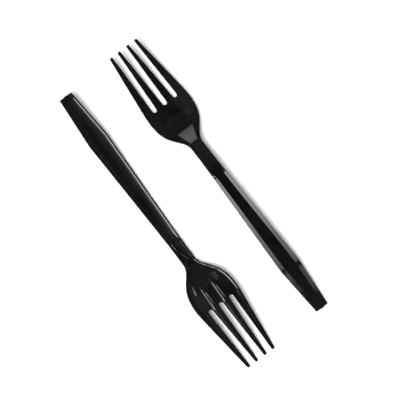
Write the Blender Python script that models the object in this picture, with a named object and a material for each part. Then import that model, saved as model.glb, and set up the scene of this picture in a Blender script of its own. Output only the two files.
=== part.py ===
"""Two disposable forks of black polystyrene, lying side by side on a table.

Each fork is one injection moulding: four tines, a dished bowl, a sloping heel, a flat neck and a
tapering handle whose flanks are chamfered above and whose underside is an open channel.
One fork lies face up with its tines towards +Y, the other face down with its tines towards -Y.
The origin is on the table, under the middle of the pair's box. Sizes below are in millimetres.

A fork is drawn in its own frame: s runs from the tine tips (0) to the handle end (LENGTH),
x runs across, and heights are above the line that the fork's drawing is based on.
"""
import math

import bpy
import numpy as np

MM = 0.001

# Overall sizes
LENGTH = 180.0
SPACING = 42.2          # between the two forks' centre lines
STAGGER = 1.9           # one fork lies this much further along than the other
HEADING = 0.39          # degrees that each fork is turned from the row's Y axis

# Tines and slots: half-widths across the fork at the tips and at the slot roots
TIP_EDGE, ROOT_EDGE = 9.3, 13.4
TIP_OUTER_SLOT, ROOT_OUTER_SLOT = 7.45, 8.28
TIP_INNER_TINE, ROOT_INNER_TINE = 3.85, 5.74
TIP_CENTRE_SLOT, ROOT_CENTRE_SLOT = 2.05, 1.325
ROOT_ARC = 37.3         # where the slots' round ends begin
BOWL_START = 39.7       # just past those ends
TIP_ROUND = 0.8         # length of a tine's rounded tip
TIP_BLUNT = 0.5         # a tip's width at its very end, as a share of the tine's

# Stations along the fork
HEEL_START, HEEL_END = 55.8, 64.2
NECK_END = 82.0
CHAMFER_FULL = 88.3
SHOULDER = 150.1
NECK_EDGE, SHOULDER_EDGE, END_EDGE = 4.02, 6.12, 3.95  # half-widths there and at the handle's end
END_WALL = 1.3
END_WALL_SLOPE = 2.0

# Sections
FLOOR = 1.3             # wall over the handle's channel
RIM = 1.45              # width of the channel's rims
RIM_LAND = 0.8          # level strip along each rim, outside its slope
RIM_SLOPE = 0.6         # slope of the rest of the rim, in towards the channel
HANDLE_DEPTH = 3.15
COVE = 0.45             # height of the channel's rounded bottom
WALL_RUN = 0.6          # width of the channel's steep walls
CHAMFER_SLOPE = 0.82
HANDLE_DRAFT, HEAD_DRAFT = 0.1, 0.08
BOWL_RIM = 1.8          # width of the rims round the bowl
NECK_RIM_SLOPE = 0.3
DISH_POWER = 1.5        # the bowl's sides curve upwards
TINE_FLAT = 0.25        # flat middle of the top: a share of the half-width over the tines,
BOWL_FLAT, HEEL_FLAT = 0.4, 0.92  # and shares of top_flat at the bowl's start and FLAT_RUN on
FLAT_RUN = 16.0
LEAN_START, LEAN_RUN = 32.0, 8.0  # the rims' slope grows in here
CHANNEL_START, CHANNEL_RUN = 64.0, 16.0  # the bowl's hollow turns into the channel here
TINE_RIB_END = 54.0
HEEL_RIB_START, HEEL_RIB_END = 49.0, 66.5

# Mesh density: columns over each tine and each slot, and (start, end, steps) of rows along s
TINE_COLUMNS, SLOT_COLUMNS = 4, 4
SHARP_ANGLE = 25        # degrees
BANDS = 7               # four tines and the three slots between them
LINES_START, LINES_RUN = 66.0, 10.0  # the lines move from the tines' places to the channel's here
TINE_ROWS = [(0.0, 0.2, 1), (0.2, TIP_ROUND, 2), (TIP_ROUND, 36.0, 7)]
BODY_ROWS = [
    (39.6, HEEL_START, 9), (HEEL_START, HEEL_END, 4), (HEEL_END, NECK_END, 6),
    (NECK_END, CHAMFER_FULL, 3), (CHAMFER_FULL, SHOULDER, 8),
    (SHOULDER, LENGTH - END_WALL - END_WALL_SLOPE, 6),
    (LENGTH - END_WALL - END_WALL_SLOPE, LENGTH - END_WALL, 1), (LENGTH - END_WALL, LENGTH, 1),
]


def curve(*points):
    """Smooth curve through (s, value) points that never overshoots them."""
    s, v = (np.array(c, float) for c in zip(*points))
    step = np.diff(s)
    slope = np.diff(v) / step
    tangent = np.zeros(len(s))
    tangent[0], tangent[-1] = slope[0], slope[-1]
    for i in range(1, len(s) - 1):
        if slope[i - 1] * slope[i] > 0:
            a, b = 2 * step[i] + step[i - 1], step[i] + 2 * step[i - 1]
            tangent[i] = (a + b) / (a / slope[i - 1] + b / slope[i])

    def value(at):
        at = min(max(at, s[0]), s[-1])
        i = min(int(np.searchsorted(s, at, side="right")) - 1, len(step) - 1)
        t = (at - s[i]) / step[i]
        return ((1 + 2 * t) * (1 - t) ** 2 * v[i] + t * t * (3 - 2 * t) * v[i + 1]
                + step[i] * t * (1 - t) * ((1 - t) * tangent[i] - t * tangent[i + 1]))

    return value


def ease(t):
    """0 below 0, 1 above 1, and a smooth step between."""
    t = min(max(t, 0.0), 1.0)
    return t * t * (3 - 2 * t)


def mix(a, b, t):
    return a + (b - a) * t


# Outline: half-width of the bowl, heel and neck, then straight flanks out to the shoulder and in again
bowl_edge = curve((ROOT_ARC, ROOT_EDGE), (39.7, 13.6), (43.1, 13.7), (48.6, 13.15), (53.0, 11.8),
                  (56.9, 9.55), (60.2, 6.95), (63.5, 4.75), (66.8, 3.9), (74.0, 3.9), (NECK_END, NECK_EDGE))

# Height of the top face along the centre line
head_crest = curve((0.0, 9.0), (10.0, 6.35), (20.0, 4.35), (30.0, 2.95), (38.0, 2.25), (45.0, 2.15),
                   (50.0, 2.6), (HEEL_START, 3.9))
handle_crest = curve((NECK_END, 10.9), (95.0, 11.5), (108.0, 11.7), (122.0, 11.4), (136.0, 10.65),
                     (SHOULDER, 9.5))
tail_crest = curve((SHOULDER, 9.5), (154.6, 8.98), (163.0, 7.7), (171.5, 6.1), (LENGTH, 4.15))
HEEL_TOP, HEEL_BULGE = 9.15, 0.12

# Half-width of the flat part of the top face
top_flat = curve((39.7, 8.3), (47.0, 7.6), (HEEL_START, 5.3), (60.0, 3.8), (HEEL_END, 2.45), (70.0, 2.9),
                 (76.0, 3.4), (NECK_END, 3.6), (85.0, 2.95), (CHAMFER_FULL, 2.4), (SHOULDER, 3.42),
                 (163.4, 2.6), (LENGTH, 1.75))

# Rise of the bowl's sides above its middle, and the depth of the rim around the underside
dish = curve((0.0, 0.0), (20.0, 0.25), (38.0, 1.0), (46.0, 1.5), (56.0, 1.45), (62.0, 0.9), (66.0, 0.35),
             (70.0, 0.0))
rim_depth = curve((0.0, 1.05), (20.0, 1.35), (36.0, 2.1), (46.0, 2.5), (54.0, 2.8), (62.0, 3.15),
                  (CHAMFER_FULL, HANDLE_DEPTH))
floor_depth = curve((0.0, 0.95), (39.7, 1.5), (55.5, 1.6), (58.0, 2.15), (61.0, 2.5), (64.0, 2.7),
                    (70.0, 2.85), (77.0, 2.95), (86.0, 1.9), (95.0, FLOOR))
floor_width = curve((0.0, 8.4), (36.0, 10.5), (46.0, 10.9), (53.0, 8.9), (58.0, 5.8), (63.0, 2.6),
                    (68.0, 1.5), (90.0, 1.1), (SHOULDER, 2.5), (LENGTH, 1.7))
rim_width = curve((0.0, 0.3), (32.0, 0.4), (40.0, RIM), (45.0, BOWL_RIM), (55.0, BOWL_RIM), (62.0, RIM))
rim_slope = curve((62.0, RIM_SLOPE), (69.0, NECK_RIM_SLOPE), (74.0, NECK_RIM_SLOPE), (83.0, RIM_SLOPE))

# Ribs on the underside: one runs out of each inner tine into the bowl, one flanks the heel
rib_height = curve((0.0, 0.15), (15.0, 0.35), (36.0, 0.55), (40.0, 0.8), (45.0, 0.85), (50.0, 0.4),
                   (TINE_RIB_END, 0.0))
rib_width = curve((0.0, 0.8), (36.0, 1.9), (41.0, 1.4), (46.0, 1.2), (54.0, 0.6))
heel_rib_place = curve((49.0, 7.5), (56.5, 5.9), (62.0, 4.2), (66.8, 2.75))
heel_rib_height = curve((HEEL_RIB_START, 0.0), (50.2, 0.5), (53.5, 0.55), (55.5, 0.25), (HEEL_RIB_END, 0.0))
HEEL_RIB_WIDTH = 1.3


def half_width(s):
    if s <= ROOT_ARC:
        return mix(TIP_EDGE, ROOT_EDGE, s / ROOT_ARC)
    if s <= NECK_END:
        return bowl_edge(s)
    if s <= SHOULDER:
        return mix(NECK_EDGE, SHOULDER_EDGE, (s - NECK_END) / (SHOULDER - NECK_END))
    return mix(SHOULDER_EDGE, END_EDGE, (s - SHOULDER) / (LENGTH - SHOULDER))


def crest(s):
    if s <= HEEL_START:
        return head_crest(s)
    if s <= HEEL_END:
        t = (s - HEEL_START) / (HEEL_END - HEEL_START)
        return mix(head_crest(HEEL_START), HEEL_TOP, t) + 4 * HEEL_BULGE * t * (1 - t)
    if s <= NECK_END:
        return mix(HEEL_TOP, handle_crest(NECK_END), (s - HEEL_END) / (NECK_END - HEEL_END))
    return handle_crest(s) if s <= SHOULDER else tail_crest(s)


def draft(s):
    return mix(HEAD_DRAFT, HANDLE_DRAFT, ease((s - NECK_END) / (CHAMFER_FULL - NECK_END)))


def chamfer(s):
    """Slope of the flanks beside the handle's flat top, which begin where the neck ends."""
    return CHAMFER_SLOPE * ease((s - NECK_END) / (CHAMFER_FULL - NECK_END))


def flat_part(s):
    """Half-width of the middle of the top face, which the bowl's sides rise from."""
    if s < BOWL_START:
        return TINE_FLAT * half_width(s)
    return top_flat(s) * mix(BOWL_FLAT, HEEL_FLAT, ease((s - BOWL_START) / FLAT_RUN))


def dished(s, x):
    """Top face before the handle's chamfers: flat across, with the bowl's sides rising."""
    flat = flat_part(s)
    side = max(abs(x) - flat, 0.0) / (half_width(s) - flat)
    return crest(s) + dish(s) * side ** DISH_POWER


def top_height(s, x):
    return dished(s, x) - chamfer(s) * max(abs(x) - top_flat(s), 0.0)


def bump(offset, reach):
    """Rounded ridge: 1 on its crest, 0 from its reach outwards."""
    t = min(abs(offset) / reach, 1.0)
    return (1 - t * t) ** 2


def underside_depth(s, x):
    """Thickness from the unchamfered top face down to the underside."""
    across, edge = abs(x), half_width(s)
    start, stop = floor_width(s), edge - rim_width(s)
    end = min(max((s - (LENGTH - END_WALL - END_WALL_SLOPE)) / END_WALL_SLOPE, 0.0), 1.0)
    wall = min(max((across - start) / (stop - start), 0.0), 1.0)
    handle = ease((s - CHANNEL_START) / CHANNEL_RUN)
    lean = (rim_slope(s) + DISH_POWER * dish(s) / (edge - flat_part(s))) * ease((s - LEAN_START) / LEAN_RUN)
    slope_run = min(max(edge - RIM_LAND - across, 0.0), max(rim_width(s) - RIM_LAND, 0.0))
    rim = rim_depth(s) - lean * slope_run * (1 - end)
    cove = COVE * handle
    steep = mix(ease(wall), ease((across - stop) / WALL_RUN + 1), handle)
    wall = mix(wall, min(across / stop, 1.0), handle)
    depth = floor_depth(s) + cove * max(wall ** 2, end) + (rim - floor_depth(s) - cove) * max(steep, end)
    inner = mix((TIP_CENTRE_SLOT + TIP_INNER_TINE) / 2, (ROOT_CENTRE_SLOT + ROOT_INNER_TINE) / 2,
                min(s / ROOT_ARC, 1.0))
    if s < TINE_RIB_END:
        depth += rib_height(s) * bump(across - inner, rib_width(s))
    if HEEL_RIB_START < s < HEEL_RIB_END:
        depth += heel_rib_height(s) * bump(across - heel_rib_place(s), HEEL_RIB_WIDTH)
    return depth


def band_edges(s):
    """Across the fork: the edges of the outer and inner tines and the three slots, left to right."""
    t = min(s / ROOT_ARC, 1.0)
    half = [mix(TIP_EDGE, ROOT_EDGE, t), mix(TIP_OUTER_SLOT, ROOT_OUTER_SLOT, t),
            mix(TIP_INNER_TINE, ROOT_INNER_TINE, t), mix(TIP_CENTRE_SLOT, ROOT_CENTRE_SLOT, t)]
    return [-v for v in half] + half[::-1]


def is_tine(band):
    return band % 2 == 0


def root_lines():
    """Lines along the fork at the slot roots: (x, band, share of the band's half-width from its middle)."""
    edges = band_edges(ROOT_ARC)
    lines = []
    for band in range(BANDS):
        count = TINE_COLUMNS if is_tine(band) else SLOT_COLUMNS
        middle, half = (edges[band] + edges[band + 1]) / 2, (edges[band + 1] - edges[band]) / 2
        for k in range(count):
            if is_tine(band):
                share = -1 + 2 * k / count
            else:
                share = -math.cos(math.pi * k / count)
            lines.append((middle + half * share, band, share))
    lines.append((edges[-1], BANDS - 1, 1.0))
    return lines


def rows(stretches):
    stations = [np.linspace(a, b, n + 1)[:-1] for a, b, n in stretches]
    return [float(s) for part in stations for s in part] + [stretches[-1][1]]


def remap(share, knots_from, knots_to):
    """Signed straight-line map of a share of the half-width."""
    return math.copysign(float(np.interp(abs(share), knots_from, knots_to)), share)


def fork_grid():
    """Points of the top and underside, row by row; None where a slot is open."""
    lines = root_lines()
    shares = [x / ROOT_EDGE for x, _, _ in lines]
    floor_share, flat_share = ROOT_INNER_TINE / ROOT_EDGE, ROOT_OUTER_SLOT / ROOT_EDGE
    rim_share = (flat_share + 1) / 2
    top, under = [], []
    for s in rows(TINE_ROWS) + [ROOT_ARC]:
        edges = band_edges(s)
        blunt = mix(TIP_BLUNT, 1.0, math.sqrt(1 - (1 - min(s / TIP_ROUND, 1.0)) ** 2))
        line = []
        for _, band, share in lines:
            if not is_tine(band) and not share == -1.0:
                line.append(None)
                continue
            tine = band if is_tine(band) else band - 1
            share = share if is_tine(band) else 1.0
            middle, half = (edges[tine] + edges[tine + 1]) / 2, (edges[tine + 1] - edges[tine]) / 2
            line.append((s, middle + half * share * blunt))
        top.append([p and (p[0], p[1], top_height(*p)) for p in line])
        under.append([p and (p[0], p[1], dished(*p) - underside_depth(*p)) for p in line])
    # The last of these rows goes round the slots' closed ends as well as across the tines
    for sheet in (top, under):
        for number, (x, band, share) in enumerate(lines):
            if not is_tine(band):
                half = (band_edges(ROOT_ARC)[band + 1] - band_edges(ROOT_ARC)[band]) / 2
                s = ROOT_ARC + half * math.sqrt(max(1 - share * share, 0.0))
                height = top_height(s, x) if sheet is top else dished(s, x) - underside_depth(s, x)
                sheet[-1][number] = (s, x, height)
    for s in rows(BODY_ROWS):
        edge, flat, rim = half_width(s), top_flat(s), half_width(s) - rim_width(s)
        handle = ease((s - LINES_START) / LINES_RUN)
        upper, lower = [], []
        for share in shares:
            x = remap(share, [0, flat_share, 1], [0, flat, edge - draft(s)])
            upper.append((s, x, top_height(s, x)))
            channel = [0, floor_width(s), rim, edge - RIM_LAND, edge]
            plain = [0, floor_share * edge, flat_share * edge, rim, edge]
            knots = [mix(a, b, handle) for a, b in zip(plain, channel)]
            x = remap(share, [0, floor_share, flat_share, rim_share, 1], knots)
            lower.append((s, x, dished(s, x) - underside_depth(s, x)))
        top.append(upper)
        under.append(lower)
    return top, under


def fork_mesh():
    """Vertices and faces of one fork, face up, tines towards +Y, middle of its length at the origin."""
    top, under = fork_grid()
    points, index = [], {}
    for side, sheet in enumerate((top, under)):
        for i, row in enumerate(sheet):
            for j, p in enumerate(row):
                if p:
                    index[side, i, j] = len(points)
                    points.append((p[1], LENGTH / 2 - p[0], p[2]))
    faces, borders = [], {}
    for i in range(len(top) - 1):
        for j in range(len(top[0]) - 1):
            corners = [(i, j), (i + 1, j), (i + 1, j + 1), (i, j + 1)]
            if top[i][j] is None or top[i][j + 1] is None:
                continue
            faces.append([index[0, a, b] for a, b in corners])
            faces.append([index[1, a, b] for a, b in reversed(corners)])
            for a, b in zip(corners, corners[1:] + corners[:1]):
                if borders.pop((b, a), None) is None:
                    borders[a, b] = True
    for a, b in borders:
        faces.append([index[(0,) + b], index[(0,) + a], index[(1,) + a], index[(1,) + b]])
    return np.array(points), faces


def centre_of_mass(points, faces):
    total, moment = 0.0, np.zeros(3)
    for face in faces:
        a = points[face[0]]
        for k in range(1, len(face) - 1):
            b, c = points[face[k]], points[face[k + 1]]
            volume = np.dot(a, np.cross(b, c)) / 6
            total += volume
            moment += volume * (a + b + c) / 4
    return moment / total, total


def laid_down(points, faces):
    """Pitches the fork about X until it rests on the two points that its weight lies between."""
    centre, _ = centre_of_mass(points, faces)
    order = np.argsort(points[:, 1], kind="stable")
    lower = []
    for y, z in points[order][:, 1:]:
        while len(lower) > 1 and ((lower[-1][0] - lower[-2][0]) * (z - lower[-2][1])
                                  <= (lower[-1][1] - lower[-2][1]) * (y - lower[-2][0])):
            lower.pop()
        lower.append((y, z))
    for (y0, z0), (y1, z1) in zip(lower, lower[1:]):
        if y0 <= centre[1] <= y1:
            pitch = -math.atan2(z1 - z0, y1 - y0)
            break
    cos, sin = math.cos(pitch), math.sin(pitch)
    turn = np.array([[1, 0, 0], [0, cos, -sin], [0, sin, cos]])
    points = points @ turn.T
    points[:, 2] -= points[:, 2].min()
    return points


def turned(points, degrees):
    a = math.radians(degrees)
    return points @ np.array([[math.cos(a), -math.sin(a), 0], [math.sin(a), math.cos(a), 0], [0, 0, 1]]).T


def polystyrene(name):
    material = bpy.data.materials.new(name)
    material.use_nodes = True
    shader = material.node_tree.nodes["Principled BSDF"]
    shader.inputs["Base Color"].default_value = (0.012, 0.012, 0.013, 1)
    shader.inputs["Roughness"].default_value = 0.12
    shader.inputs["Metallic"].default_value = 0.0
    return material


def add_object(name, points, faces):
    mesh = bpy.data.meshes.new(name)
    mesh.from_pydata([tuple(p) for p in points * MM], [], faces)
    mesh.validate()
    obj = bpy.data.objects.new(name, mesh)
    bpy.context.collection.objects.link(obj)
    mesh.materials.append(polystyrene(name + "_plastic"))
    mesh.shade_smooth()
    mesh.set_sharp_from_angle(angle=math.radians(SHARP_ANGLE))
    return obj


def main():
    for obj in list(bpy.data.objects):
        bpy.data.objects.remove(obj)
    points, faces = fork_mesh()
    face_up = turned(laid_down(points, faces), HEADING)
    flipped = points * np.array([-1, 1, -1])
    face_down = turned(laid_down(flipped, faces), 180.0 - HEADING)
    face_up += (SPACING / 2, STAGGER / 2, 0)
    face_down += (-SPACING / 2, -STAGGER / 2, 0)
    both = np.vstack([face_up, face_down])
    middle = (both.min(0) + both.max(0)) / 2 * (1, 1, 0)
    add_object("fork_face_up", face_up - middle, faces)
    add_object("fork_face_down", face_down - middle, faces)


main()
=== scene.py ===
"""Two glossy black disposable forks on a white table: the looks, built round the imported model.

Each fork is drawn again at full detail, with rounded edges, ribs and gate mark, in its own frame:
s runs from the tine tips (0) to the handle end (LENGTH), x runs across, both in millimetres.
It is then laid where the frame has the CAD fork, and stands for it.
"""
import math

import bpy
import numpy as np
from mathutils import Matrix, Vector


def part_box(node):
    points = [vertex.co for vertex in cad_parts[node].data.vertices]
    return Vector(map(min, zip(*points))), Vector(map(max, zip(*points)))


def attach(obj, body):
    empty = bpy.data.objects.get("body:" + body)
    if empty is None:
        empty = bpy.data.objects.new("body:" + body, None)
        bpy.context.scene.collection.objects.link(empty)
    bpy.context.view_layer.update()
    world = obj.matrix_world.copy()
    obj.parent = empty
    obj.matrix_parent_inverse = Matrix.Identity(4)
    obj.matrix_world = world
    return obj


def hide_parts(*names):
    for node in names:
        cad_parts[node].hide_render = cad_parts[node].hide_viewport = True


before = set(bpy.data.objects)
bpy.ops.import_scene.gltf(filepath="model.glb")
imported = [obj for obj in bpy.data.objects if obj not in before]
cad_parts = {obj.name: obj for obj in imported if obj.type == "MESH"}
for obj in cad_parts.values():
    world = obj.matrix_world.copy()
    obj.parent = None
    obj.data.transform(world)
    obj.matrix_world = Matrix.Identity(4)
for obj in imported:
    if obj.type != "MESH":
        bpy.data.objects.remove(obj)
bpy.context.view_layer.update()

MM = 0.001
LENGTH = 180.0
HEADING = 0.39          # degrees that each fork is turned from the Y axis

# Tines and slots: half-widths across the fork at the tips and at the slot roots
TIP_EDGE, ROOT_EDGE = 9.3, 13.4
TIP_OUTER_SLOT, ROOT_OUTER_SLOT = 7.45, 8.28
TIP_INNER_TINE, ROOT_INNER_TINE = 3.85, 5.74
TIP_CENTRE_SLOT, ROOT_CENTRE_SLOT = 2.05, 1.325
ROOT_ARC = 37.3         # where the slots' round ends begin
BOWL_START = 39.7       # just past those ends
TIP_ROUND = 0.8         # length of a tine's rounded tip
TIP_BLUNT = 0.5         # a tip's width at its very end, as a share of the tine's

# Stations along the fork
HEEL_START, HEEL_END = 55.8, 64.2
NECK_END = 82.0
CHAMFER_FULL = 88.3
SHOULDER = 150.1
NECK_EDGE, SHOULDER_EDGE, END_EDGE = 4.02, 6.12, 3.95  # half-widths there and at the handle's end
END_WALL = 1.3
END_WALL_SLOPE = 2.0

# Sections
FLOOR = 1.3             # wall over the handle's channel
RIM = 1.45              # width of the channel's rims
HANDLE_DEPTH = 3.15
RIM_LAND = 0.8          # level strip along each rim, outside its slope
CHAMFER_SLOPE = 0.82
COVE = 0.45             # height of the channel's rounded bottom
WALL_RUN = 0.6          # width of the channel's steep walls
RIM_SLOPE = 0.6         # slope of the rest of the rim, in towards the channel
HANDLE_DRAFT, HEAD_DRAFT = 0.1, 0.08
BOWL_RIM = 1.8          # width of the rims round the bowl
NECK_RIM_SLOPE = 0.3
DISH_POWER = 1.5        # the bowl's sides curve upwards
TINE_FLAT = 0.25        # flat middle of the top: a share of the half-width over the tines,
BOWL_FLAT, HEEL_FLAT = 0.4, 0.92  # and shares of top_flat at the bowl's start and FLAT_RUN on
FLAT_RUN = 16.0
LEAN_START, LEAN_RUN = 32.0, 8.0  # the rims' slope grows in here
CHANNEL_START, CHANNEL_RUN = 64.0, 16.0  # the bowl's hollow turns into the channel here
TINE_RIB_END = 54.0
HEEL_RIB_START, HEEL_RIB_END = 49.0, 66.5

# Detail of the visible mesh: columns over each tine and slot, its edges, gate stub and crossed ribs,
# and (start, end, steps) of its rows along s
TINE_COLUMNS, SLOT_COLUMNS = 16, 14
BANDS = 7               # four tines and the three slots between them
LINES_START, LINES_RUN = 66.0, 10.0  # the lines move from the tines' places to the channel's here
EDGE_RADIUS = 0.12      # of the moulding's outer edges
EDGE_STEPS = 3
GATE_HALF_WIDTH, GATE_PROUD = 1.0, 0.2
GATE_RUN, GATE_SIDE = 0.6, 0.3  # length and width over which the stub rises
END = LENGTH - EDGE_RADIUS - GATE_PROUD  # the last row, which the rounded edge and the stub stand past
END_BREAK, END_BREAK_SLOPE = 0.55, 0.6  # the underside's outer edge is broken at the handle's end
BENT_START, BENT_RUN = 38.9, 6.0  # rows bend round the slots' closed ends, less and less
BENT_REACH = 0.75
TINE_ROWS = [(EDGE_RADIUS, TIP_ROUND, 8), (TIP_ROUND, 36.8, 44)]
BODY_ROWS = [
    (BENT_START, HEEL_START, 56), (HEEL_START, HEEL_END, 28), (HEEL_END, 67.4, 10), (67.4, 73.0, 36),
    (73.0, NECK_END, 18), (NECK_END, CHAMFER_FULL, 16), (CHAMFER_FULL, SHOULDER, 44),
    (SHOULDER, LENGTH - END_WALL - END_WALL_SLOPE, 30),
    (LENGTH - END_WALL - END_WALL_SLOPE, LENGTH - END_WALL, 8), (LENGTH - END_WALL, END - END_BREAK, 3),
    (END - END_BREAK, END, 4),
]
CROSS_PLACE, CROSS_WIDTH, CROSS_LENGTH, CROSS_HEIGHT = 70.2, 1.25, 2.5, 0.17
CROSS_REACH = 0.3       # half-width of each of its ribs
CROSS_END, CROSS_FADE = 1.3, 0.5  # where they end and over what they fade, as shares of its size


def curve(*points):
    """Smooth curve through (s, value) points that never overshoots them."""
    s, v = (np.array(c, float) for c in zip(*points))
    step = np.diff(s)
    slope = np.diff(v) / step
    tangent = np.zeros(len(s))
    tangent[0], tangent[-1] = slope[0], slope[-1]
    for i in range(1, len(s) - 1):
        if slope[i - 1] * slope[i] > 0:
            a, b = 2 * step[i] + step[i - 1], step[i] + 2 * step[i - 1]
            tangent[i] = (a + b) / (a / slope[i - 1] + b / slope[i])

    def value(at):
        at = min(max(at, s[0]), s[-1])
        i = min(int(np.searchsorted(s, at, side="right")) - 1, len(step) - 1)
        t = (at - s[i]) / step[i]
        return ((1 + 2 * t) * (1 - t) ** 2 * v[i] + t * t * (3 - 2 * t) * v[i + 1]
                + step[i] * t * (1 - t) * ((1 - t) * tangent[i] - t * tangent[i + 1]))

    return value


def ease(t):
    """0 below 0, 1 above 1, and a smooth step between."""
    t = min(max(t, 0.0), 1.0)
    return t * t * (3 - 2 * t)


def mix(a, b, t):
    return a + (b - a) * t


# Outline: half-width of the bowl, heel and neck, then straight flanks out to the shoulder and in again
bowl_edge = curve((ROOT_ARC, ROOT_EDGE), (39.7, 13.6), (43.1, 13.7), (48.6, 13.15), (53.0, 11.8),
                  (56.9, 9.55), (60.2, 6.95), (63.5, 4.75), (66.8, 3.9), (74.0, 3.9), (NECK_END, NECK_EDGE))

# Height of the top face along the centre line
head_crest = curve((0.0, 9.0), (10.0, 6.35), (20.0, 4.35), (30.0, 2.95), (38.0, 2.25), (45.0, 2.15),
                   (50.0, 2.6), (HEEL_START, 3.9))
handle_crest = curve((NECK_END, 10.9), (95.0, 11.5), (108.0, 11.7), (122.0, 11.4), (136.0, 10.65),
                     (SHOULDER, 9.5))
tail_crest = curve((SHOULDER, 9.5), (154.6, 8.98), (163.0, 7.7), (171.5, 6.1), (LENGTH, 4.15))
HEEL_TOP, HEEL_BULGE = 9.15, 0.12

# Half-width of the flat part of the top face
top_flat = curve((39.7, 8.3), (47.0, 7.6), (HEEL_START, 5.3), (60.0, 3.8), (HEEL_END, 2.45), (70.0, 2.9),
                 (76.0, 3.4), (NECK_END, 3.6), (85.0, 2.95), (CHAMFER_FULL, 2.4), (SHOULDER, 3.42),
                 (163.4, 2.6), (LENGTH, 1.75))

# Rise of the bowl's sides above its middle, and the depth of the rim around the underside
dish = curve((0.0, 0.0), (20.0, 0.25), (38.0, 1.0), (46.0, 1.5), (56.0, 1.45), (62.0, 0.9), (66.0, 0.35),
             (70.0, 0.0))
rim_depth = curve((0.0, 1.05), (20.0, 1.35), (36.0, 2.1), (46.0, 2.5), (54.0, 2.8), (62.0, 3.15),
                  (CHAMFER_FULL, HANDLE_DEPTH))
floor_depth = curve((0.0, 0.95), (39.7, 1.5), (55.5, 1.6), (58.0, 2.15), (61.0, 2.5), (64.0, 2.7),
                    (70.0, 2.85), (77.0, 2.95), (86.0, 1.9), (95.0, FLOOR))
floor_width = curve((0.0, 8.4), (36.0, 10.5), (46.0, 10.9), (53.0, 8.9), (58.0, 5.8), (63.0, 2.6),
                    (68.0, 1.5), (90.0, 1.1), (SHOULDER, 2.5), (LENGTH, 1.7))
rim_width = curve((0.0, 0.3), (32.0, 0.4), (40.0, RIM), (45.0, BOWL_RIM), (55.0, BOWL_RIM), (62.0, RIM))
rim_slope = curve((62.0, RIM_SLOPE), (69.0, NECK_RIM_SLOPE), (74.0, NECK_RIM_SLOPE), (83.0, RIM_SLOPE))

# Ribs on the underside: one runs out of each inner tine into the bowl, one flanks the heel
rib_height = curve((0.0, 0.15), (15.0, 0.35), (36.0, 0.55), (40.0, 0.8), (45.0, 0.85), (50.0, 0.4),
                   (TINE_RIB_END, 0.0))
rib_width = curve((0.0, 0.8), (36.0, 1.9), (41.0, 1.4), (46.0, 1.2), (54.0, 0.6))
heel_rib_place = curve((49.0, 7.5), (56.5, 5.9), (62.0, 4.2), (66.8, 2.75))
heel_rib_height = curve((HEEL_RIB_START, 0.0), (50.2, 0.5), (53.5, 0.55), (55.5, 0.25), (HEEL_RIB_END, 0.0))
HEEL_RIB_WIDTH = 1.3


def half_width(s):
    if s <= ROOT_ARC:
        return mix(TIP_EDGE, ROOT_EDGE, s / ROOT_ARC)
    if s <= NECK_END:
        return bowl_edge(s)
    if s <= SHOULDER:
        return mix(NECK_EDGE, SHOULDER_EDGE, (s - NECK_END) / (SHOULDER - NECK_END))
    return mix(SHOULDER_EDGE, END_EDGE, (s - SHOULDER) / (LENGTH - SHOULDER))


def crest(s):
    if s <= HEEL_START:
        return head_crest(s)
    if s <= HEEL_END:
        t = (s - HEEL_START) / (HEEL_END - HEEL_START)
        return mix(head_crest(HEEL_START), HEEL_TOP, t) + 4 * HEEL_BULGE * t * (1 - t)
    if s <= NECK_END:
        return mix(HEEL_TOP, handle_crest(NECK_END), (s - HEEL_END) / (NECK_END - HEEL_END))
    return handle_crest(s) if s <= SHOULDER else tail_crest(s)


def draft(s):
    return mix(HEAD_DRAFT, HANDLE_DRAFT, ease((s - NECK_END) / (CHAMFER_FULL - NECK_END)))


def chamfer(s):
    """Slope of the flanks beside the handle's flat top, which begin where the neck ends."""
    return CHAMFER_SLOPE * ease((s - NECK_END) / (CHAMFER_FULL - NECK_END))


def flat_part(s):
    """Half-width of the middle of the top face, which the bowl's sides rise from."""
    if s < BOWL_START:
        return TINE_FLAT * half_width(s)
    return top_flat(s) * mix(BOWL_FLAT, HEEL_FLAT, ease((s - BOWL_START) / FLAT_RUN))


def dished(s, x):
    """Top face before the handle's chamfers: flat across, with the bowl's sides rising."""
    flat = flat_part(s)
    side = max(abs(x) - flat, 0.0) / (half_width(s) - flat)
    return crest(s) + dish(s) * side ** DISH_POWER


def top_height(s, x):
    return dished(s, x) - chamfer(s) * max(abs(x) - top_flat(s), 0.0)


def bump(offset, reach):
    """Rounded ridge: 1 on its crest, 0 from its reach outwards."""
    t = min(abs(offset) / reach, 1.0)
    return (1 - t * t) ** 2


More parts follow.
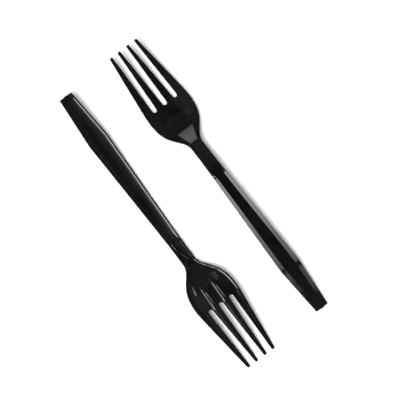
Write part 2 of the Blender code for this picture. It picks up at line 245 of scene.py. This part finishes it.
def underside_depth(s, x):
    """Thickness from the unchamfered top face down to the underside."""
    across, edge = abs(x), half_width(s)
    start, stop = floor_width(s), edge - rim_width(s)
    end = min(max((s - (LENGTH - END_WALL - END_WALL_SLOPE)) / END_WALL_SLOPE, 0.0), 1.0)
    wall = min(max((across - start) / (stop - start), 0.0), 1.0)
    handle = ease((s - CHANNEL_START) / CHANNEL_RUN)
    lean = (rim_slope(s) + DISH_POWER * dish(s) / (edge - flat_part(s))) * ease((s - LEAN_START) / LEAN_RUN)
    slope_run = min(max(edge - RIM_LAND - across, 0.0), max(rim_width(s) - RIM_LAND, 0.0))
    rim = rim_depth(s) - lean * slope_run * (1 - end)
    cove = COVE * handle
    steep = mix(ease(wall), ease((across - stop) / WALL_RUN + 1), handle)
    wall = mix(wall, min(across / stop, 1.0), handle)
    depth = floor_depth(s) + cove * max(wall ** 2, end) + (rim - floor_depth(s) - cove) * max(steep, end)
    inner = mix((TIP_CENTRE_SLOT + TIP_INNER_TINE) / 2, (ROOT_CENTRE_SLOT + ROOT_INNER_TINE) / 2,
                min(s / ROOT_ARC, 1.0))
    if s < TINE_RIB_END:
        depth += rib_height(s) * bump(across - inner, rib_width(s))
    if HEEL_RIB_START < s < HEEL_RIB_END:
        depth += heel_rib_height(s) * bump(across - heel_rib_place(s), HEEL_RIB_WIDTH)
    return depth + cross(s, x) - END_BREAK_SLOPE * max(s - (END - END_BREAK), 0.0)


def under_height(s, x):
    return dished(s, x) - underside_depth(s, x)


def cross(s, x):
    """Two fine ribs that cross on the underside of the neck."""
    u, v = x / CROSS_WIDTH, (s - CROSS_PLACE) / CROSS_LENGTH
    fade = ease((CROSS_END - max(abs(u), abs(v))) / CROSS_FADE)
    offset = min(abs(u - v), abs(u + v)) * CROSS_WIDTH
    return CROSS_HEIGHT * fade * max(1 - offset / CROSS_REACH, 0.0)


def band_edges(s):
    """Across the fork: the edges of the outer and inner tines and the three slots, left to right."""
    t = min(s / ROOT_ARC, 1.0)
    half = [mix(TIP_EDGE, ROOT_EDGE, t) - EDGE_RADIUS, mix(TIP_OUTER_SLOT, ROOT_OUTER_SLOT, t) + EDGE_RADIUS,
            mix(TIP_INNER_TINE, ROOT_INNER_TINE, t) - EDGE_RADIUS,
            mix(TIP_CENTRE_SLOT, ROOT_CENTRE_SLOT, t) + EDGE_RADIUS]
    return [-v for v in half] + half[::-1]


def is_tine(band):
    return band % 2 == 0


def root_lines():
    """Lines along the fork at the slot roots: (x, band, share of the band's half-width from its middle)."""
    edges = band_edges(ROOT_ARC)
    lines = []
    for band in range(BANDS):
        count = TINE_COLUMNS if is_tine(band) else SLOT_COLUMNS
        middle, half = (edges[band] + edges[band + 1]) / 2, (edges[band + 1] - edges[band]) / 2
        for k in range(count):
            if is_tine(band):
                share = -1 + 2 * k / count
            else:
                share = -math.cos(math.pi * k / count)
            lines.append((middle + half * share, band, share))
    lines.append((edges[-1], BANDS - 1, 1.0))
    return lines


def rows(stretches):
    stations = [np.linspace(a, b, n + 1)[:-1] for a, b, n in stretches]
    return [float(s) for part in stations for s in part] + [stretches[-1][1]]


def remap(share, knots_from, knots_to):
    """Signed straight-line map of a share of the half-width."""
    return math.copysign(float(np.interp(abs(share), knots_from, knots_to)), share)


def fork_grid():
    """Points (s, x, height) of the top and underside, row by row; None where a slot is open."""
    lines = root_lines()
    top, under = [], []
    for row in tine_places(lines):
        top.append([place and (*place, top_height(*place)) for place in row])
        under.append([place and (*place, under_height(*place)) for place in row])
    for row in rows(BODY_ROWS):
        upper, lower = body_row(row, lines)
        top.append(upper)
        under.append(lower)
    return top, under


def tine_places(lines):
    """Rows of (s, x) across the tines; the last one goes round the slots' closed ends too."""
    places = []
    for s in rows(TINE_ROWS) + [ROOT_ARC]:
        edges = band_edges(s)
        blunt = mix(TIP_BLUNT, 1.0, math.sqrt(1 - (1 - min(s / TIP_ROUND, 1.0)) ** 2))
        line = []
        for _, band, share in lines:
            if not is_tine(band) and share > -1.0:
                line.append(None)
                continue
            # A slot's first line is the far edge of the tine before it
            tine, share = (band, share) if is_tine(band) else (band - 1, 1.0)
            middle, half = (edges[tine] + edges[tine + 1]) / 2, (edges[tine + 1] - edges[tine]) / 2
            line.append((s, middle + half * share * blunt))
        places.append(line)
    edges = band_edges(ROOT_ARC)
    for number, (x, band, share) in enumerate(lines):
        if not is_tine(band):
            half = (edges[band + 1] - edges[band]) / 2
            places[-1][number] = (ROOT_ARC + half * math.sqrt(max(1 - share * share, 0.0)), x)
    return places


def body_row(row, lines):
    """Points of the top and underside along one row of the bowl, neck or handle."""
    root_edge = ROOT_EDGE - EDGE_RADIUS
    floor_share = (ROOT_INNER_TINE - EDGE_RADIUS) / root_edge
    flat_share = (ROOT_OUTER_SLOT + EDGE_RADIUS) / root_edge
    rim_share = (flat_share + 1) / 2
    upper, lower = [], []
    for root_x, band, along in lines:
        share = root_x / root_edge
        s = row if is_tine(band) else row + bend(row, along)
        edge, flat, rim = half_width(s), top_flat(s), half_width(s) - rim_width(s)
        handle = ease((s - LINES_START) / LINES_RUN)
        x = remap(share, [0, flat_share, 1], [0, flat, edge - draft(s) - EDGE_RADIUS])
        upper.append((s + gate(row, x), x, top_height(s, x)))
        channel = [0, floor_width(s), rim, edge - RIM_LAND, edge - EDGE_RADIUS]
        plain = [0, floor_share * edge, flat_share * edge, rim, edge - EDGE_RADIUS]
        knots = [mix(a, b, handle) for a, b in zip(plain, channel)]
        x = remap(share, [0, floor_share, flat_share, rim_share, 1], knots)
        lower.append((s + gate(row, x), x, under_height(s, x)))
    return upper, lower


def bend(row, share):
    """How far a row past the slots is pushed on by their round ends, at a share of a slot's half-width."""
    fade = max(1.0 - (row - BENT_START) / BENT_RUN, 0.0) ** 2
    return BENT_REACH * math.sqrt(max(1 - share * share, 0.0)) * fade


def gate(row, x):
    """The gate's stub: the handle's end stands out a little at its middle."""
    near_end = ease((row - (END - GATE_RUN)) / GATE_RUN)
    return GATE_PROUD * near_end * ease((GATE_HALF_WIDTH - abs(x)) / GATE_SIDE + 0.5)


def fork_mesh():
    """Vertices and faces of one fork, face up, tines towards +Y, middle of its length at the origin."""
    top, under = fork_grid()
    points, index = [], {}
    for side, sheet in enumerate((top, under)):
        for i, row in enumerate(sheet):
            for j, p in enumerate(row):
                if p:
                    index[side, i, j] = len(points)
                    points.append((p[1], LENGTH / 2 - p[0], p[2]))
    faces, borders = [], {}
    for i in range(len(top) - 1):
        for j in range(len(top[0]) - 1):
            corners = [(i, j), (i + 1, j), (i + 1, j + 1), (i, j + 1)]
            if top[i][j] is None or top[i][j + 1] is None:
                continue
            faces.append([index[0, a, b] for a, b in corners])
            faces.append([index[1, a, b] for a, b in reversed(corners)])
            for a, b in zip(corners, corners[1:] + corners[:1]):
                if borders.pop((b, a), None) is None:
                    borders[a, b] = True
    faces += rounded_walls(points, index, borders)
    return np.array(points), faces


def rounded_walls(points, index, borders):
    """Side walls from the top's border to the underside's, with a quarter round at each edge."""
    flat = {node: np.array(points[index[0, node[0], node[1]]][:2]) for pair in borders for node in pair}
    outward = {node: np.zeros(2) for node in flat}
    for a, b in borders:
        along = flat[b] - flat[a]
        along /= np.linalg.norm(along)
        for node in (a, b):
            outward[node] += (along[1], -along[0])
    rings = {}
    for node, direction in outward.items():
        direction = direction / np.linalg.norm(direction)
        ring = [index[(0,) + node]]
        for side, steps in ((0, range(1, EDGE_STEPS + 1)), (1, range(EDGE_STEPS, 0, -1))):
            x, y, z = points[index[(side,) + node]]
            for k in steps:
                a = math.pi / 2 * k / EDGE_STEPS
                out, inset = EDGE_RADIUS * math.sin(a), EDGE_RADIUS * (1 - math.cos(a))
                height = z - inset if side == 0 else z + inset
                ring.append(len(points))
                points.append((x + direction[0] * out, y + direction[1] * out, height))
        ring.append(index[(1,) + node])
        rings[node] = ring
    faces = []
    for a, b in borders:
        for k in range(len(rings[a]) - 1):
            faces.append([rings[b][k], rings[a][k], rings[a][k + 1], rings[b][k + 1]])
    return faces


def centre_of_mass(points, faces):
    total, moment = 0.0, np.zeros(3)
    for face in faces:
        a = points[face[0]]
        for k in range(1, len(face) - 1):
            b, c = points[face[k]], points[face[k + 1]]
            volume = np.dot(a, np.cross(b, c)) / 6
            total += volume
            moment += volume * (a + b + c) / 4
    return moment / total


def laid_down(points, faces):
    """Pitches the fork about X until it rests on the two points that its weight lies between."""
    centre = centre_of_mass(points, faces)
    order = np.argsort(points[:, 1], kind="stable")
    lower = []
    for y, z in points[order][:, 1:]:
        while len(lower) > 1 and ((lower[-1][0] - lower[-2][0]) * (z - lower[-2][1])
                                  <= (lower[-1][1] - lower[-2][1]) * (y - lower[-2][0])):
            lower.pop()
        lower.append((y, z))
    for (y0, z0), (y1, z1) in zip(lower, lower[1:]):
        if y0 <= centre[1] <= y1:
            pitch = -math.atan2(z1 - z0, y1 - y0)
            break
    cos, sin = math.cos(pitch), math.sin(pitch)
    turn = np.array([[1, 0, 0], [0, cos, -sin], [0, sin, cos]])
    points = points @ turn.T
    points[:, 2] -= points[:, 2].min()
    return points


def turned(points, degrees):
    a = math.radians(degrees)
    return points @ np.array([[math.cos(a), -math.sin(a), 0], [math.sin(a), math.cos(a), 0], [0, 0, 1]]).T


# Materials

def node(tree, kind, **inputs):
    new = tree.nodes.new(kind)
    for name, value in inputs.items():
        new.inputs[name.replace("_", " ")].default_value = value
    return new


def black_polystyrene():
    """Deep black gloss with faint flow lines along the moulding, soft waviness and fine handling marks."""
    material = bpy.data.materials.new("black_polystyrene")
    material.use_nodes = True
    tree = material.node_tree
    link = tree.links.new
    shader = tree.nodes["Principled BSDF"]
    shader.inputs["IOR"].default_value = 1.55
    place = tree.nodes.new("ShaderNodeTexCoord")

    def noise(stretch, detail, roughness=0.5):
        mapping = node(tree, "ShaderNodeMapping", Scale=stretch)
        link(place.outputs["Object"], mapping.inputs["Vector"])
        texture = node(tree, "ShaderNodeTexNoise", Scale=1.0, Detail=detail, Roughness=roughness)
        link(mapping.outputs["Vector"], texture.inputs["Vector"])
        return texture.outputs["Fac"]

    def scaled(value, low, high):
        ramp = node(tree, "ShaderNodeMapRange", From_Min=0.3, From_Max=0.7, To_Min=low, To_Max=high)
        link(value, ramp.inputs["Value"])
        return ramp.outputs["Result"]

    flow = noise((900.0, 40.0, 900.0), 3.0)
    cloud = noise((120.0, 60.0, 120.0), 2.0)
    scuff = noise((2500.0, 260.0, 2500.0), 4.0, 0.6)

    colour = tree.nodes.new("ShaderNodeMix")
    colour.data_type = "RGBA"
    colour.inputs[6].default_value = (0.0022, 0.0021, 0.0024, 1)
    colour.inputs[7].default_value = (0.0052, 0.0048, 0.0054, 1)
    link(scaled(cloud, 0.0, 1.0), colour.inputs[0])
    link(colour.outputs[2], shader.inputs["Base Color"])

    rough = tree.nodes.new("ShaderNodeMath")
    rough.operation = "ADD"
    link(scaled(flow, 0.06, 0.085), rough.inputs[0])
    link(scaled(scuff, 0.0, 0.03), rough.inputs[1])
    link(rough.outputs[0], shader.inputs["Roughness"])

    wave = node(tree, "ShaderNodeBump", Strength=0.1, Distance=0.00002)
    link(cloud, wave.inputs["Height"])
    lines = node(tree, "ShaderNodeBump", Strength=0.08, Distance=0.000004)
    link(flow, lines.inputs["Height"])
    link(wave.outputs["Normal"], lines.inputs["Normal"])
    link(lines.outputs["Normal"], shader.inputs["Normal"])
    return material


def table_white():
    material = bpy.data.materials.new("table_white")
    material.use_nodes = True
    tree = material.node_tree
    shader = tree.nodes["Principled BSDF"]
    shader.inputs["Roughness"].default_value = 0.7
    shader.inputs["Specular IOR Level"].default_value = 0.15
    grain = node(tree, "ShaderNodeTexNoise", Scale=8.0, Detail=2.0)
    ramp = node(tree, "ShaderNodeMapRange", To_Min=0.88, To_Max=0.9)
    tree.links.new(grain.outputs["Fac"], ramp.inputs["Value"])
    tree.links.new(ramp.outputs["Result"], shader.inputs["Base Color"])
    return material


# The forks

def add_fork(name, cad_node, tips, points, faces, material):
    """Puts the drawn fork where the frame has its CAD node, tips (towards +Y or -Y) on tips."""
    mesh = bpy.data.meshes.new(name)
    points = points * MM
    low, high = (np.array(corner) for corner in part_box(cad_node))
    shift = (low + high) / 2 - (points.min(0) + points.max(0)) / 2
    shift[1] = high[1] - points[:, 1].max() if tips > 0 else low[1] - points[:, 1].min()
    shift[2] = low[2] - points[:, 2].min()
    mesh.from_pydata([tuple(p) for p in points + shift], [], faces)
    mesh.materials.append(material)
    mesh.shade_smooth()
    fork = bpy.data.objects.new(name, mesh)
    bpy.context.collection.objects.link(fork)
    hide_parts(cad_node)
    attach(fork, "root")


def add_forks():
    plastic = black_polystyrene()
    points, faces = fork_mesh()
    face_up = turned(laid_down(points, faces), HEADING)
    flipped = points * np.array([-1, 1, -1])
    face_down = turned(laid_down(flipped, faces), 180.0 - HEADING)
    add_fork("face_up_fork", "fork_face_up", 1, face_up, faces, plastic)
    add_fork("face_down_fork", "fork_face_down", -1, face_down, faces, plastic)


# Table, light and camera, in metres and degrees

TABLE_HALF = 3.0
VIEW_TURN = -37.246     # the camera is rolled by this much, so the forks cross the view
VIEW_WIDTH = 0.2208     # width of the table that the view takes in
CAMERA_HEIGHT = 1.6
CAMERA_PLACE = (0.00429, -0.00095)
SENSOR_WIDTH = 36.0
SIDE_DISTANCE = 1.18    # from the forks to the panels on each side
NECK_NEARNESS = 0.93    # the neck's panels stand this much nearer, in front of the others
PALE_BACKGROUND = (0.93, 0.93, 0.94, 1)
# Brightness of the surroundings in reflections, by the height that they are seen at
SURROUNDINGS = [(0.0, 0.06), (0.3, 0.09), (0.7, 0.13), (0.92, 0.09), (0.985, 0.02)]


def add_panel(name, place, size, radiance, lights=False, reflects=True, aim=(0.0, 0.0, 0.0), core=6.0):
    """Soft box of a given brightness, which falls off towards its edges: the higher the core, the later."""
    data = bpy.data.lights.new(name, "AREA")
    data.shape = "RECTANGLE"
    data.size, data.size_y = size
    data.energy = radiance * math.pi * size[0] * size[1]
    data.use_nodes = True
    tree = data.node_tree
    link = tree.links.new
    parts = tree.nodes.new("ShaderNodeSeparateXYZ")
    link(tree.nodes.new("ShaderNodeNewGeometry").outputs["Parametric"], parts.inputs["Vector"])

    def math_node(operation, *values):
        new = tree.nodes.new("ShaderNodeMath")
        new.operation = operation
        for socket, value in zip(new.inputs, values):
            if isinstance(value, float):
                socket.default_value = value
            else:
                link(value, socket)
        return new.outputs["Value"]

    falloff = []
    for share in (parts.outputs["X"], parts.outputs["Y"]):
        from_middle = math_node("ABSOLUTE", math_node("MULTIPLY_ADD", share, 2.0, -1.0))
        falloff.append(math_node("SUBTRACT", 1.0, math_node("POWER", from_middle, core)))
    link(math_node("MULTIPLY", *falloff), tree.nodes["Emission"].inputs["Strength"])

    panel = bpy.data.objects.new(name, data)
    bpy.context.collection.objects.link(panel)
    panel.location = place
    panel.rotation_euler = (Vector(aim) - Vector(place)).to_track_quat("-Z", "Y").to_euler()
    panel.visible_camera = False
    panel.visible_diffuse = lights
    panel.visible_glossy = reflects


def sky(side, along, zenith, distance):
    """A place at an angle from straight up, towards +X or -X (side) or +Y or -Y (along)."""
    z = math.radians(zenith)
    return (side * distance * math.sin(z), along * distance * math.sin(z), distance * math.cos(z))


def add_lights():
    add_panel("shadow_light", sky(-1, 0, 12, 1.5), (0.62, 0.62), 26.0, lights=True, reflects=False)
    add_panel("table_light", (0.0, 0.0, 1.6), (3.2, 3.2), 1.15, lights=True, reflects=False)
    add_panel("key_panel", sky(-1, 0.0, 62, 1.2), (1.05, 0.26), 8.5)
    add_panel("low_key_panel", sky(-1, -0.05, 40, 1.3), (1.5, 0.34), 1.3, core=3.0)
    add_panel("overhead_panel", sky(-1, 0, 17, 1.3), (1.6, 0.74), 0.15, core=3.0)
    add_panel("crest_panel", sky(0, 1, 13.5, 1.3), (1.0, 0.2), 0.12, core=3.0)
    add_panel("heel_panel", sky(0, 1, 63, 1.2), (0.48, 0.36), 1.95, aim=(0.021, 0.03, 0.0), core=2.0)
    for side in (-1, 1):
        across = side * SIDE_DISTANCE
        add_panel("side_panel", (across, 0.455, 0.2), (1.47, 0.24), 2.4, aim=(0.0, 0.455, 0.0), core=20.0)
        nearer = NECK_NEARNESS * across
        add_panel("neck_panel", (nearer, 0.1, 0.19), (0.46, 0.22), 2.6, aim=(0.0, 0.1, 0.0), core=3.0)
        add_panel("tail_panel", (across, -0.415, 0.22), (0.16, 0.26), 1.05, aim=(0.0, -0.415, 0.0), core=4.0)


def add_table():
    mesh = bpy.data.meshes.new("table")
    h = TABLE_HALF
    mesh.from_pydata([(-h, -h, 0), (h, -h, 0), (h, h, 0), (-h, h, 0)], [], [(0, 1, 2, 3)])
    mesh.materials.append(table_white())
    table = bpy.data.objects.new("table", mesh)
    bpy.context.collection.objects.link(table)


def add_world():
    """Pale to the camera; in reflections dark overhead and bright low down, like panels round a table."""
    world = bpy.data.worlds.new("studio")
    bpy.context.scene.world = world
    world.use_nodes = True
    tree = world.node_tree
    link = tree.links.new
    place = tree.nodes.new("ShaderNodeTexCoord")
    parts = tree.nodes.new("ShaderNodeSeparateXYZ")
    link(place.outputs["Generated"], parts.inputs["Vector"])
    ramp = tree.nodes.new("ShaderNodeValToRGB")
    ramp.color_ramp.interpolation = "EASE"
    while len(ramp.color_ramp.elements) < len(SURROUNDINGS):
        ramp.color_ramp.elements.new(0.5)
    for element, (at, level) in zip(ramp.color_ramp.elements, SURROUNDINGS):
        element.position = at
        element.color = (level, level, level, 1)
    link(parts.outputs["Z"], ramp.inputs["Fac"])
    path = tree.nodes.new("ShaderNodeLightPath")
    pick = tree.nodes.new("ShaderNodeMix")
    pick.data_type = "RGBA"
    link(path.outputs["Is Camera Ray"], pick.inputs[0])
    link(ramp.outputs["Color"], pick.inputs[6])
    pick.inputs[7].default_value = PALE_BACKGROUND
    link(pick.outputs[2], tree.nodes["Background"].inputs["Color"])


def add_camera():
    data = bpy.data.cameras.new("camera")
    data.sensor_width = SENSOR_WIDTH
    data.lens = data.sensor_width * CAMERA_HEIGHT / VIEW_WIDTH
    camera = bpy.data.objects.new("camera", data)
    bpy.context.collection.objects.link(camera)
    camera.location = (*CAMERA_PLACE, CAMERA_HEIGHT)
    camera.rotation_euler = (0.0, 0.0, math.radians(VIEW_TURN))
    bpy.context.scene.camera = camera


add_forks()
add_table()
add_world()
add_lights()
add_camera()
bpy.context.scene.view_settings.view_transform = "Standard"
